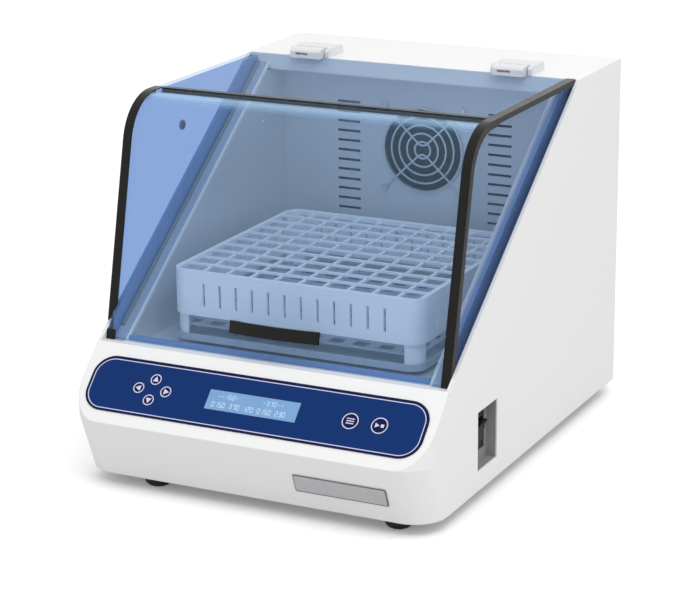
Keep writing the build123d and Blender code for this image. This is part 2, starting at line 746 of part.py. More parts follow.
# Drive frame: the steel plate that carries the bearing housings and the motor.
idlers_at = [(-idler_x, orbit_y + 45 - plate_d / 2), (idler_x, orbit_y + 45 - plate_d / 2),
             (0.0, orbit_y - 13 + plate_d / 2)]
with BuildPart() as drive_frame:
    with BuildSketch(plan(base_t)):
        with Locations((0, orbit_y)):
            RectangleRounded(2 * idler_x + 60, plate_d - 20, 12)
        with Locations((motor_x - 60, motor_y - 20)):
            RectangleRounded(2 * motor_x, 100, 12)
        with Locations((-40, orbit_y - 30), (55, orbit_y + 20)):
            RectangleRounded(44, 90, 10, mode=Mode.SUBTRACT)
    extrude(amount=frame_t)
save(drive_frame.part, "drive_frame")

# Bearing housings: the main one and three smaller ones for the idler cranks.
house_top = plate_z - 32
bearing_t = 9.0
main_or = 22.0
main_bearing_r = 16.0
idler_or = 15.0
idler_bearing_r = 11.0
idler_top = plate_z - 16
with BuildPart() as bearing_housings:
    with BuildSketch(plan(frame_top)):
        with Locations((0, orbit_y)):
            Circle(35)
        with Locations(idlers_at):
            Circle(24)
    extrude(amount=6)
    with BuildSketch(plan(frame_top)):
        with Locations((0, orbit_y)):
            Circle(main_or)
    extrude(amount=house_top - frame_top)
    with BuildSketch(plan(frame_top)):
        with Locations(idlers_at):
            Circle(idler_or)
    extrude(amount=idler_top - frame_top)
    with BuildSketch(plan(frame_top)):
        with Locations((0, orbit_y)):
            Circle(main_bearing_r)
        with Locations(idlers_at):
            Circle(idler_bearing_r)
    extrude(amount=idler_top, mode=Mode.SUBTRACT)
save(bearing_housings.part, "bearing_housings")

with BuildPart() as bearings:
    for level in (frame_top + 3, house_top - bearing_t):
        with BuildSketch(plan(level)):
            with Locations((0, orbit_y)):
                Circle(main_bearing_r)
                Circle(shaft_r, mode=Mode.SUBTRACT)
        extrude(amount=bearing_t)
    for level in (idler_top - 40, idler_top - bearing_t + 1):
        with BuildSketch(plan(level)):
            with Locations(idlers_at):
                Circle(idler_bearing_r)
                Circle(idler_shaft_r, mode=Mode.SUBTRACT)
        extrude(amount=bearing_t - 1)
save(bearings.part, "bearings")

# Main crank: shaft, disc and the eccentric pin that carries the drive plate round.
pulley_z = house_top + 2.0
pulley_t = 14.0
disc_z = pulley_z + pulley_t
disc_t = 8.0
with BuildPart() as main_crank:
    with BuildSketch(plan(frame_top + 2)):
        with Locations((0, orbit_y)):
            Circle(shaft_r - run_gap)
    extrude(amount=disc_z - frame_top - 2)
    with BuildSketch(plan(disc_z)):
        with Locations((0, orbit_y)):
            Circle(25)
    extrude(amount=disc_t)
    with BuildSketch(plan(disc_z + disc_t)):
        with Locations((0, tray_y)):
            Circle(pin_r)
    extrude(amount=plate_z + plate_t + 2 - disc_z - disc_t)
save(main_crank.part, "main_crank")

# Driven pulley with its counterweight: a grooved wheel, lightened between rim and hub.
belt_w = 8.0
with BuildPart() as crank_pulley:
    with BuildSketch(Plane(origin=(0, front + orbit_y, foot_h), x_dir=(1, 0, 0), z_dir=(0, -1, 0))):
        with BuildLine():
            Polyline((shaft_r - run_gap, pulley_z), (pulley_r, pulley_z), (pulley_r, pulley_z + 2),
                     (pulley_r - 3, pulley_z + 3), (pulley_r - 3, pulley_z + 3 + belt_w),
                     (pulley_r, pulley_z + 4 + belt_w), (pulley_r, pulley_z + pulley_t),
                     (pulley_r - 8, pulley_z + pulley_t), (pulley_r - 10, pulley_z + 6), (24, pulley_z + 6),
                     (20, pulley_z + pulley_t), (shaft_r - run_gap, pulley_z + pulley_t), close=True)
        make_face()
    revolve(axis=Axis((0, front + orbit_y, 0), (0, 0, 1)))
    with BuildSketch(plan(pulley_z + 6)):
        with BuildLine():
            l1 = CenterArc((0, orbit_y), 50, 20, 140)
            l2 = CenterArc((0, orbit_y), 29, 20, 140)
            Line(l1 @ 0, l2 @ 0)
            Line(l1 @ 1, l2 @ 1)
        make_face()
    extrude(amount=pulley_t + 2)
save(crank_pulley.part, "crank_pulley")

# Idler cranks: they keep the drive plate square to the housing as it goes round.
for i, (x, y) in enumerate(idlers_at):
    with BuildPart() as idler:
        with BuildSketch(plan(idler_top - 44)):
            with Locations((x, y)):
                Circle(idler_shaft_r - run_gap)
        extrude(amount=48)
        with BuildSketch(plan(idler_top + 2)):
            with Locations((x, y)):
                Circle(17)
        extrude(amount=7)
        with BuildSketch(plan(idler_top + 9)):
            with Locations((x, y - orbit_r)):
                Circle(idler_pin_r)
        extrude(amount=plate_z + plate_t + 1 - idler_top - 9)
    save(idler.part, f"idler_crank_{i + 1}")

# Motor, its pulley and the belt.
motor_r = 34.0
motor_top = pulley_z - 4
with BuildPart() as drive_motor:
    with BuildSketch(plan(frame_top)):
        with Locations((motor_x, motor_y)):
            RectangleRounded(2 * motor_r + 6, 2 * motor_r + 6, 6)
    extrude(amount=5)
    with BuildSketch(plan(frame_top)):
        with Locations((motor_x, motor_y)):
            Circle(motor_r)
    extrude(amount=motor_top - frame_top)
    fillet(drive_motor.edges().filter_by(GeomType.CIRCLE).sort_by(Axis.Z)[-1], 4)
    with BuildSketch(plan(motor_top)):
        with Locations((motor_x, motor_y)):
            Circle(11)
            Circle(4.05, mode=Mode.SUBTRACT)
    extrude(amount=2)
save(drive_motor.part, "drive_motor")

with BuildPart() as motor_pulley:
    with BuildSketch(Plane(origin=(motor_x, front + motor_y, foot_h), x_dir=(1, 0, 0), z_dir=(0, -1, 0))):
        with BuildLine():
            Polyline((0, motor_top + 0.5), (4, motor_top + 0.5), (4, pulley_z), (motor_pulley_r, pulley_z),
                     (motor_pulley_r, pulley_z + 2),
                     (motor_pulley_r - 3, pulley_z + 3), (motor_pulley_r - 3, pulley_z + 3 + belt_w),
                     (motor_pulley_r, pulley_z + 4 + belt_w), (motor_pulley_r, pulley_z + pulley_t),
                     (0, pulley_z + pulley_t), close=True)
        make_face()
    revolve(axis=Axis((motor_x, front + motor_y, 0), (0, 0, 1)))
save(motor_pulley.part, "motor_pulley")

belt_t = 2.0
belt_clear = 0.3
belt_span = hypot(motor_x, motor_y - orbit_y)
belt_dir = degrees(atan2(motor_y - orbit_y, motor_x))
belt_big = pulley_r - 3 + belt_clear
belt_small = motor_pulley_r - 3 + belt_clear


def belt_loop(grow):
    """Belt outline round both pulleys, grown outwards by grow."""
    big, small = belt_big + grow, belt_small + grow
    swing = degrees(atan2(sqrt(belt_span ** 2 - (big - small) ** 2), big - small))
    with BuildSketch() as loop:
        with BuildLine():
            arc1 = CenterArc((0, orbit_y), big, belt_dir + swing, 360 - 2 * swing)
            arc2 = CenterArc((motor_x, motor_y), small, belt_dir - swing, 2 * swing)
            Line(arc1 @ 1, arc2 @ 0)
            Line(arc2 @ 1, arc1 @ 0)
        make_face()
    return loop.sketch


with BuildPart() as drive_belt:
    with BuildSketch(plan(pulley_z + 3.2)):
        add(belt_loop(belt_t))
        add(belt_loop(0), mode=Mode.SUBTRACT)
    extrude(amount=belt_w - 0.4)
save(drive_belt.part, "drive_belt")

# Drive plate: rides on the crank pin and the three idler pins, and carries the tray's posts.
with BuildPart() as drive_plate:
    with BuildSketch(plan(plate_z)):
        with Locations((0, tray_y)):
            RectangleRounded(plate_w, plate_d, 14)
        with Locations((3 - plate_w / 4, tray_y + 2), (plate_w / 4 - 3, tray_y + 2)):
            RectangleRounded(plate_w / 4 - 15, plate_d / 2 - 9, 10, mode=Mode.SUBTRACT)
    extrude(amount=plate_t)
    with BuildSketch(plan(plate_z - 4)):
        with Locations((0, tray_y)):
            Circle(16)
    extrude(amount=4)
    with BuildSketch(plan(plate_z - 2)):
        with Locations([(x, y - orbit_r) for x, y in idlers_at]):
            Circle(11)
    extrude(amount=2)
    with BuildSketch(plan(plate_z - 5)):
        with Locations((0, tray_y)):
            Circle(pin_r + run_gap)
        with Locations([(x, y - orbit_r) for x, y in idlers_at]):
            Circle(idler_pin_r + run_gap)
    extrude(amount=plate_t + 6, mode=Mode.SUBTRACT)
save(drive_plate.part, "drive_plate")

posts_at = [(x, tray_y + y) for x in (-post_x, post_x) for y in (-post_y, post_y)]
with BuildPart() as platform_posts:
    with BuildSketch(plan(plate_z + plate_t)):
        with Locations(posts_at):
            Circle(post_r)
    extrude(amount=tray_z - plate_z - plate_t)
save(platform_posts.part, "platform_posts")

# Tray: a shallow pan with rounded corners and a turned-up lip.
with BuildPart() as platform_tray:
    with BuildSketch(plan(tray_z)):
        with Locations((0, tray_y)):
            RectangleRounded(tray_w, tray_d, rack_corner_r)
    extrude(amount=tray_lip)
    with BuildSketch(plan(tray_z + tray_t)):
        with Locations((0, tray_y)):
            RectangleRounded(tray_w - 2 * tray_t, tray_d - 2 * tray_t, rack_corner_r - tray_t)
    extrude(amount=tray_lip, mode=Mode.SUBTRACT)
save(platform_tray.part, "platform_tray")

# Tube rack: a slotted skirt with a flat top rim, standing on four rounded corner legs.
cell_x = (rack_w - 2 * rack_rim + bar_w) / rack_cells
cell_y = (rack_d - 2 * rack_rim + bar_w) / rack_cells
rack_slots = 12
rack_slot_pitch = 20.8
post_leg = rack_corner_r + 2
rack_foot = tray_z + tray_t
leg_w = rack_w - 2 * rack_t - 1.6
leg_d = rack_d - 2 * rack_t - 1.6
slot_mid = rack_top - rack_skirt / 2 - 1


def legs(wall, radius):
    """Four corner angles with rounded corners, of the wall thickness given."""
    with BuildSketch() as corners:
        RectangleRounded(leg_w, leg_d, rack_corner_r - rack_t - 0.8)
        RectangleRounded(leg_w - 2 * wall, leg_d - 2 * wall, radius, mode=Mode.SUBTRACT)
        Rectangle(rack_w - 2 * post_leg, rack_d, mode=Mode.SUBTRACT)
        Rectangle(rack_w, rack_d - 2 * post_leg, mode=Mode.SUBTRACT)
    return corners.sketch


with BuildPart() as rack_frame:
    with BuildSketch(plan(rack_foot)):
        with Locations((0, tray_y)):
            add(legs(rack_t, rack_corner_r - 2 * rack_t - 0.8))
    extrude(amount=rack_top - rack_foot - 1)
    # ledges in the corners under the shelf
    with BuildSketch(plan(shelf_z - 3)):
        with Locations((0, tray_y)):
            add(legs(10, 6))
    extrude(amount=3)
    with BuildSketch(plan(rack_top - rack_skirt)):
        with Locations((0, tray_y)):
            RectangleRounded(rack_w, rack_d, rack_corner_r)
            RectangleRounded(rack_w - 2 * rack_t - 2, rack_d - 2 * rack_t - 2, rack_corner_r - rack_t - 1,
                             mode=Mode.SUBTRACT)
    extrude(amount=rack_skirt)
    with BuildSketch(plan(rack_top - 2 * bar_h)):
        with Locations((0, tray_y)):
            RectangleRounded(rack_w - 1, rack_d - 1, rack_corner_r)
            Rectangle(rack_w - 2 * rack_rim, rack_d - 2 * rack_rim, mode=Mode.SUBTRACT)
    extrude(amount=2 * bar_h)
    with BuildSketch(across(tray_y - rack_d)):
        with Locations((0, slot_mid)):
            with GridLocations(rack_slot_pitch, 1, rack_slots, 1):
                SlotOverall(28, 3, rotation=90)
    extrude(amount=-2 * rack_d, mode=Mode.SUBTRACT)
    with BuildSketch(side(-rack_w)):
        with Locations((tray_y, slot_mid)):
            with GridLocations(rack_slot_pitch, 1, rack_slots - 1, 1):
                SlotOverall(28, 3, rotation=90)
    extrude(amount=2 * rack_w, mode=Mode.SUBTRACT)
save(rack_frame.part, "rack_frame")

# Cell bars: one layer runs to the back, the other lies across it, and together they make the square cells.
with BuildPart() as rack_bars_long:
    with BuildSketch(plan(rack_top - 2 * bar_h)):
        with Locations((0, tray_y)):
            with GridLocations(cell_x, 1, rack_cells - 1, 1):
                Rectangle(bar_w, rack_d - 2 * rack_rim)
    extrude(amount=bar_h)
save(rack_bars_long.part, "rack_bars_long")

with BuildPart() as rack_bars_cross:
    with BuildSketch(plan(rack_top - bar_h)):
        with Locations((0, tray_y)):
            with GridLocations(1, cell_y, 1, rack_cells - 1):
                Rectangle(rack_w - 2 * rack_rim, bar_w)
    extrude(amount=bar_h)
save(rack_bars_cross.part, "rack_bars_cross")

# Rack shelf: the lower plate that the tubes pass through or stand on.
with BuildPart() as rack_shelf:
    with BuildSketch(plan(shelf_z)):
        with Locations((0, tray_y)):
            Rectangle(leg_w - 5, leg_d - 5)
            with GridLocations(leg_w - 5, leg_d - 5, 2, 2):
                Rectangle(18, 18, rotation=45, mode=Mode.SUBTRACT)
            with GridLocations(cell_x, cell_y, rack_cells, rack_cells):
                Rectangle(cell_x - 14, cell_y - 14, mode=Mode.SUBTRACT)
    extrude(amount=1.5)
save(rack_shelf.part, "rack_shelf")

# Hood: bent front sheet, flat top sheet, two side panels, stiffeners, seam, edge trims and handle.
hood_bottom = sill_z + seat_gap
corner_y = hood_front_y + (housing_h - hood_bottom) * tan(lean)
hood_rear = top_edge_y - top_gap
seam_y = corner_y + hood_bend_r * tan((radians(90) - lean) / 2) + seam_back


def hood_strip(x0, x1, end_y, outer, thickness):
    """Sheet or trim that follows the hood's outer line, from x0 to x1."""
    with BuildPart() as strip:
        with BuildSketch(side(x0)):
            with BuildLine():
                FilletPolyline((hood_front_y - outer / cos(lean) - 5 * tan(lean), hood_bottom - 5),
                               (corner_y - outer * (1 / cos(lean) - tan(lean)), housing_h + outer),
                               (end_y, housing_h + outer), radius=hood_bend_r + outer)
                offset(amount=thickness, side=Side.RIGHT)
            make_face()
            with Locations((hood_front_y, hood_bottom - 10)):
                Rectangle(60, 20, mode=Mode.SUBTRACT)
        extrude(amount=x1 - x0)
    return strip.part


front_sheet = hood_strip(-hood_half, hood_half, seam_y - 0.8, 0, sheet_t)
with BuildPart() as hood_front_sheet:
    add(front_sheet)
save(hood_front_sheet.part, "hood_front_sheet")

with BuildPart() as hood_top_sheet:
    with BuildSketch(plan(housing_h - sheet_t)):
        with Locations((0, (seam_y + 0.8 + hood_rear) / 2)):
            Rectangle(2 * hood_half, hood_rear - seam_y - 0.8)
    extrude(amount=sheet_t)
save(hood_top_sheet.part, "hood_top_sheet")

seat = rebate - seat_gap


def side_shape(x0, low, high):
    """Side panel's shape between two depths under the opening's slope, at x0."""
    tip = hood_front_y + sheet_t / cos(lean)
    with BuildSketch(side(x0)) as shape:
        with BuildLine():
            arc_line = FilletPolyline((tip, hood_bottom), (tip + (housing_h - sheet_t - hood_bottom) * tan(lean),
                                                           housing_h - sheet_t), (hood_rear, housing_h - sheet_t),
                                      radius=hood_bend_r - sheet_t)
            Polyline(arc_line @ 1, (hood_rear, hood_bottom), arc_line @ 0)
        make_face()
        with BuildLine():
            Polyline((0, slope_h(0, low)), (housing_d, slope_h(housing_d, low)),
                     (housing_d, slope_h(housing_d, high)), (0, slope_h(0, high)), close=True)
        make_face(mode=Mode.INTERSECT)
    return shape.sketch


for name, x0 in (("hood_side_left", -hood_half), ("hood_side_right", hood_half - sheet_t)):
    shape = side_shape(x0, seat, -housing_h)
    with BuildPart() as panel:
        add(extrude(shape, amount=sheet_t, mode=Mode.PRIVATE))
    save(panel.part, name)

stud = (259.0, 356.0)
rail_w = 5.0
with BuildPart() as hood_stiffeners:
    for x0 in (-hood_half + sheet_t, hood_half - 2 * sheet_t):
        shape = side_shape(x0, seat, seat - stiffener_w)
        add(extrude(shape, amount=sheet_t, mode=Mode.PRIVATE))
    # rail behind the front sheet's bottom edge
    rail_y = hood_front_y + sheet_t / cos(lean)
    with BuildSketch(side(-frame_inner + 0.6)):
        with BuildLine():
            Polyline((rail_y + 0.1, hood_bottom), (rail_y + rail_w, hood_bottom),
                     (rail_y + rail_w + rail_w * tan(lean), hood_bottom + rail_w),
                     (rail_y + 0.1 + rail_w * tan(lean), hood_bottom + rail_w), close=True)
        make_face()
    extrude(amount=2 * frame_inner - 1.2)
save(hood_stiffeners.part, "hood_stiffeners")

# Seam: the black H-section strip that joins the front and top sheets.
with BuildPart() as hood_seam_strip:
    with BuildSketch(side(-hood_half + trim_face + 0.2)):
        with Locations((seam_y, housing_h + 0.6)):
            Rectangle(seam_w, 1.2)
        with Locations((seam_y, housing_h - sheet_t / 2)):
            Rectangle(1.4, sheet_t + 1)
        with Locations((seam_y, housing_h - sheet_t - 0.5)):
            Rectangle(seam_w, 1.0)
    extrude(amount=2 * (hood_half - trim_face - 0.2))
save(hood_seam_strip.part, "hood_seam_strip")

# Edge trims: black angle strips round both front edges, cut short above the corner pieces.
with BuildPart() as trim_forms:
    for near, far in ((hood_half - trim_face, hood_half + 0.05), (-hood_half + trim_face, -hood_half - 0.05)):
        out = trim_t if near > 0 else -trim_t
        add(hood_strip(min(near, far), max(near, far), seam_y + 2, trim_t, trim_t - 0.05))
        add(hood_strip(min(far, far - 0.05 + out), max(far, far - 0.05 + out), seam_y + 2, trim_t,
                       trim_side + trim_t))
with BuildPart() as seat_cut:
    with BuildSketch(side(-half_w)):
        with BuildLine():
            Polyline((flange_y - 1, slope_h(flange_y - 1, seat)), (flange_y + 30, slope_h(flange_y + 30, seat)),
                     (flange_y + 30, 0), (flange_y - 1, 0), close=True)
        make_face()
    extrude(amount=housing_w)
with BuildPart() as hood_front_trims:
    add(trim_forms.part)
    with BuildSketch(across(hood_front_y + 30)):
        with BuildLine():
            Polyline((hood_half - trim_face - 1, guard_top), (half_w, guard_top), (half_w, 0),
                     (hood_half - trim_face - 1, 0), close=True)
        make_face()
        with BuildLine():
            Polyline((-hood_half + trim_face + 1, guard_top), (-half_w, guard_top - 28), (-half_w, 0),
                     (-hood_half + trim_face + 1, 0), close=True)
        make_face()
    extrude(amount=60, mode=Mode.SUBTRACT)
save(hood_front_trims.part, "hood_front_trims")

# Corner pieces: a longer guard at the bottom right, a short block at the bottom left.
block_h = 10.5
with BuildPart() as hood_corner_pieces:
    with BuildSketch(across(hood_front_y + 30)):
        with BuildLine():
            Polyline((hood_half - trim_face - 1, guard_top - 0.2), (half_w, guard_top - 0.2), (half_w, 0),
                     (hood_half - trim_face - 1, 0), close=True)
        make_face()
        with BuildLine():
            Polyline((-hood_half + trim_face + 1, hood_bottom + block_h), (-half_w, hood_bottom + block_h),
                     (-half_w, 0), (-hood_half + trim_face + 1, 0), close=True)
        make_face()
    extrude(amount=60)
    add(trim_forms.part, mode=Mode.INTERSECT)
    add(seat_cut.part, mode=Mode.SUBTRACT)
save(hood_corner_pieces.part, "hood_corner_pieces")

with BuildPart() as hood_top_trim:
    with BuildSketch(across(seam_y + 2.3)):
        with BuildLine():
            Polyline((hood_half - trim_face, housing_h + 0.05), (hood_half + 0.05, housing_h + 0.05),
                     (hood_half + 0.05, housing_h - top_trim_side),
                     (hood_half + trim_t, housing_h - top_trim_side),
                     (hood_half + trim_t, housing_h + trim_t), (hood_half - trim_face, housing_h + trim_t),
                     close=True)
        make_face()
    extrude(amount=-(hood_rear - seam_y - 2.3))
save(hood_top_trim.part, "hood_top_trim")

# Handle: a bowed pull with a foot at each end, on the front sheet.
grip_y = hood_front_y + (handle_z - hood_bottom) * tan(lean)
grip = Plane(origin=(0, front + grip_y - handle_h / 2 * sin(lean), foot_h + handle_z - handle_h / 2 * cos(lean)),
             x_dir=(1, 0, 0), z_dir=(0, sin(lean), cos(lean)))
half_grip = handle_w / 2
with BuildPart() as hood_handle:
    with BuildSketch(grip):
        with BuildLine():
            ThreePointArc((-half_grip, -6), (0, -6 - handle_bow), (half_grip, -6))
            Polyline((half_grip, -6), (half_grip, -0.05), (half_grip - 11, -0.05), (half_grip - 13, -4))
            ThreePointArc((half_grip - 13, -4), (0, -6 - handle_bow + handle_t), (-half_grip + 13, -4))
            Polyline((-half_grip + 13, -4), (-half_grip + 11, -0.05), (-half_grip, -0.05), (-half_grip, -6))
        make_face()
    extrude(amount=handle_h)
save(hood_handle.part, "hood_handle")

# Stud: a plated screw with its cap through the left side panel.
with BuildPart() as hood_stud:
    with BuildSketch(side(-hood_half + sheet_t + 0.05)):
        with Locations(stud):
            Circle(6)
    extrude(amount=2.4)
    fillet(hood_stud.edges().filter_by(GeomType.CIRCLE).sort_by(Axis.X)[-1], 1.6)
save(hood_stud.part, "hood_stud")

# Hinges: moulded blocks on the top panel, arms on the hood's rear edge, and a pin through both.
arm_front = hood_rear - 11.5
base_back = hinge_y + hinge_d
base_top = housing_h + hinge_h
with BuildPart() as hinge_arms:
    for x in (-hinge_x, hinge_x):
        with BuildSketch(side(x - hinge_w / 2)):
            with BuildLine():
                Polyline((hinge_y, hinge_z + hinge_r), (arm_front + 2, base_top), (arm_front, base_top - 2.5),
                         (arm_front, housing_h + 0.05), (hood_rear, housing_h + 0.05),
                         (hood_rear, housing_h + 0.4), (hinge_y, housing_h + 0.4))
                ThreePointArc((hinge_y, housing_h + 0.4), (hinge_y + hinge_r, hinge_z), (hinge_y, hinge_z + hinge_r))
            make_face()
            with Locations((hinge_y, hinge_z)):
                Circle(hinge_pin_r + run_gap, mode=Mode.SUBTRACT)
        extrude(amount=hinge_w)
        with BuildSketch(across(arm_front)):
            with Locations((x - 5, housing_h + 5.2)):
                Rectangle(17, 2.6)
        extrude(amount=-7, mode=Mode.SUBTRACT)
save(hinge_arms.part, "hinge_arms")

ear_gap = 1.2
with BuildPart() as hinge_bases:
    for x in (-hinge_x, hinge_x):
        with BuildSketch(side(x - hinge_w / 2 - ear_gap - hinge_ear)):
            with BuildLine():
                Polyline((hinge_y + 8, housing_h), (base_back, housing_h), (base_back, base_top - 3),
                         (base_back - 3, base_top), (hinge_y + 8, base_top), close=True)
            make_face()
        extrude(amount=hinge_w + 2 * ear_gap + 2 * hinge_ear)
        for x0 in (x - hinge_w / 2 - ear_gap - hinge_ear, x + hinge_w / 2 + ear_gap):
            with BuildSketch(side(x0)):
                with BuildLine():
                    Polyline((hinge_y - 4, housing_h), (hinge_y + 8, housing_h), (hinge_y + 8, base_top),
                             (hinge_y - 1, base_top), (hinge_y - 4, base_top - 3), close=True)
                make_face()
                with Locations((hinge_y, hinge_z)):
                    Circle(hinge_pin_r, mode=Mode.SUBTRACT)
            extrude(amount=hinge_ear)
save(hinge_bases.part, "hinge_bases")

with BuildPart() as hinge_pins:
    for x in (-hinge_x, hinge_x):
        with BuildSketch(side(x - hinge_w / 2 - ear_gap - hinge_ear)):
            with Locations((hinge_y, hinge_z)):
                Circle(hinge_pin_r)
        extrude(amount=hinge_w + 2 * ear_gap + 2 * hinge_ear)
save(hinge_pins.part, "hinge_pins")
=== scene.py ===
import math

import bpy
from mathutils import Matrix, Vector


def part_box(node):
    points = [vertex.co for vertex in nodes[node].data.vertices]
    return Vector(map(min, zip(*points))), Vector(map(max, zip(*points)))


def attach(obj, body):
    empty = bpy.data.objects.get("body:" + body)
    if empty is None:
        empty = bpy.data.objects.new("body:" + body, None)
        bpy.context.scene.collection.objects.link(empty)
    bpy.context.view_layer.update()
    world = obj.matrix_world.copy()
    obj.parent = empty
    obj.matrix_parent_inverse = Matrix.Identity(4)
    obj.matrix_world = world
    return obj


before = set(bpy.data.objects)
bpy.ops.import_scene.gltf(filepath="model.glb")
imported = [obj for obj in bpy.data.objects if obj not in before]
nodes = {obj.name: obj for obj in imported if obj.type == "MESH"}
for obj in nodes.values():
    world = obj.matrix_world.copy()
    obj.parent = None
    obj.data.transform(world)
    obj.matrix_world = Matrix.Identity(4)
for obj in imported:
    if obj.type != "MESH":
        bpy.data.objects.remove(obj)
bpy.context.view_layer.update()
scene = bpy.context.scene

# Housing: the shell is folded and welded from sheet steel and powder coated, and the
# rear cover is screwed to it. The pale coat has a fine orange-peel skin and soft edges.


class Wire:
    """A shader socket that takes part in Python sums."""

    def __init__(self, finish, socket):
        self.finish = finish
        self.socket = socket

    def beside(self, name):
        """Another output of the same node."""
        return Wire(self.finish, self.socket.node.outputs[name])

    def maths(self, operation, *values):
        return self.finish.node("Math", {"operation": operation}, dict(enumerate(values)))

    def __add__(self, other):
        return self.maths("ADD", self, other)

    def __sub__(self, other):
        return self.maths("SUBTRACT", self, other)

    def __rsub__(self, other):
        return self.maths("SUBTRACT", other, self)

    def __mul__(self, other):
        return self.maths("MULTIPLY", self, other)

    def __truediv__(self, other):
        return self.maths("DIVIDE", self, other)

    def __pow__(self, other):
        return self.maths("POWER", self, other)

    def __abs__(self):
        return self.maths("ABSOLUTE", self)

    __radd__ = __add__
    __rmul__ = __mul__


def opaque(colour):
    """A colour triple with full alpha. A wire stays as it is."""
    return colour if isinstance(colour, Wire) else (*colour, 1)


class Finish:
    """One material. Nodes are added as they are named, and dress() lays it on the pieces."""

    def __init__(self, name, owner=None):
        self.owner = owner or bpy.data.materials.new(name)
        self.owner.use_nodes = True
        self.tree = self.owner.node_tree
        self.tree.nodes.clear()

    def node(self, kind, settings=None, sockets=None, out=0):
        """Any node: its type, its settings, then a value or a wire for each socket."""
        made = self.tree.nodes.new("ShaderNode" + kind)
        for key, value in (settings or {}).items():
            setattr(made, key, value)
        for key, value in (sockets or {}).items():
            if isinstance(value, Wire):
                self.tree.links.new(value.socket, made.inputs[key])
            else:
                made.inputs[key].default_value = value
        return Wire(self, made.outputs[out]) if made.outputs else None

    def place(self):
        """The object's own coordinates, in metres, which ride with the piece."""
        return self.node("TexCoord", out="Object")

    def axes(self):
        x = self.node("SeparateXYZ", sockets={0: self.place()})
        return x, x.beside("Y"), x.beside("Z")

    def noise(self, grains, detail=3, stretch=(1, 1, 1)):
        """Noise of so many grains to the metre, with fewer along an axis that stretch makes small."""
        spread = self.node("Mapping", sockets={"Vector": self.place(), "Scale": stretch})
        return self.node("TexNoise", sockets={"Vector": spread, "Scale": grains, "Detail": detail})

    def blend(self, share, first, second):
        """Colour between two colours, each a triple or a wire."""
        colours = {6: opaque(first), 7: opaque(second)}
        return self.node("Mix", {"data_type": "RGBA"}, {0: share, **colours}, out=2)

    def bump(self, height, depth, strength, over=None):
        """Relief from a height, laid over another normal if one is given."""
        sockets = {"Height": height, "Distance": depth, "Strength": strength}
        if over:
            sockets["Normal"] = over
        return self.node("Bump", sockets=sockets)

    def soft_edge(self, radius):
        """Normal that rounds the edges of a coated sheet."""
        return self.node("Bevel", {"samples": 4}, {"Radius": radius})

    def surface(self, **sockets):
        """Principled surface: names as in Blender, with _ for a space."""
        named = {key.replace("_", " "): value for key, value in sockets.items()}
        for key in ("Base Color", "Emission Color"):
            if key in named:
                named[key] = opaque(named[key])
        return self.node("BsdfPrincipled", sockets=named)

    def dress(self, shader, *pieces):
        """Lay the finish on CAD nodes, by name, and on the scene's own objects."""
        self.node("OutputMaterial", sockets={"Surface": shader})
        for piece in pieces:
            mesh = nodes[piece].data if isinstance(piece, str) else piece.data
            mesh.materials.clear()
            mesh.materials.append(self.owner)


def tint(*chart):
    """Linear colour from the 0 to 255 values of a colour chart."""
    return tuple(((c / 255 + 0.055) / 1.055) ** 2.4 if c > 10 else c / 255 / 12.92 for c in chart)


def powder_coat(name, shade, rough, *pieces):
    coat = Finish(name)
    peel = coat.noise(900, 2)
    cloud = coat.noise(5, 2)
    colour = coat.blend(cloud * 0.5, shade, tuple(c * 0.985 for c in shade))
    relief = coat.bump(peel, 0.00003, 0.35, over=coat.soft_edge(0.0016))
    coat.dress(coat.surface(Base_Color=colour, Roughness=rough + cloud * 0.06, Normal=relief), *pieces)


powder_coat("pale_powder_coat", tint(240, 240, 240), 0.38, "housing_shell", "rear_cover")

# Base plate, drive frame and motor: folded steel and a cast motor case, in a duller
# grey coat. They are bolted together under the chamber's floor.
powder_coat("grey_powder_coat", tint(150, 152, 155), 0.5, "base_plate", "drive_frame", "drive_motor")

# Feet and drive belt: black moulded rubber with a dusty, slightly rough skin.
# The feet are screwed to the base plate, and the belt is stretched over two pulleys.


def mottled(name, first, second, grains, *pieces, detail=3, share=1, rough, spread=0, relief=None, **rest):
    """A finish that drifts between two shades, its roughness and relief in step with them.

    share is how far it goes to the second shade, spread is how much rougher that shade is,
    and relief is a bump's depth and strength.
    """
    finish = Finish(name)
    drift = finish.noise(grains, detail)
    if relief:
        rest["Normal"] = finish.bump(drift, *relief)
    colour = finish.blend(drift if share == 1 else drift * share, first, second)
    roughness = rough + drift * spread if spread else rough
    finish.dress(finish.surface(Base_Color=colour, Roughness=roughness, **rest), *pieces)


mottled("black_rubber", tint(18, 18, 18), tint(40, 40, 41), 260, "rubber_feet", "drive_belt",
        rough=0.75, relief=(0.0001, 0.5))

# Bearing housings: grey cast aluminium, sand-rough outside and turned at the bores.
# They are bolted to the drive frame and hold the crank's and the idlers' bearings.
mottled("sand_cast_aluminium", tint(128, 130, 133), tint(168, 170, 172), 450, "bearing_housings",
        detail=4, rough=0.55, spread=0.15, relief=(0.0003, 0.5), Metallic=0.85)

# Cranks, bearings and posts: steel, turned and ground bright. The cranks turn in
# the bearings, and the posts carry the tray through the chamber's floor.


def brushed(name, shade, rough, metal, stretch, *pieces):
    """Bare metal with grinding marks, drawn out along an axis by stretch."""
    metal_finish = Finish(name)
    marks = metal_finish.noise(700, 3, stretch)
    cloud = metal_finish.noise(9, 3)
    colour = metal_finish.blend(marks * 0.5 + cloud * 0.35, shade, tuple(c * 0.80 for c in shade))
    relief = metal_finish.bump(marks, 0.00005, 0.4)
    shader = metal_finish.surface(Base_Color=colour, Metallic=metal, Roughness=rough + marks * 0.12,
                                  Normal=relief)
    metal_finish.dress(shader, *pieces)


brushed("ground_steel", tint(190, 193, 197), 0.22, 0.95, (1, 1, 0.08), "main_crank", "bearings",
        "platform_posts", "idler_crank_1", "idler_crank_2", "idler_crank_3")

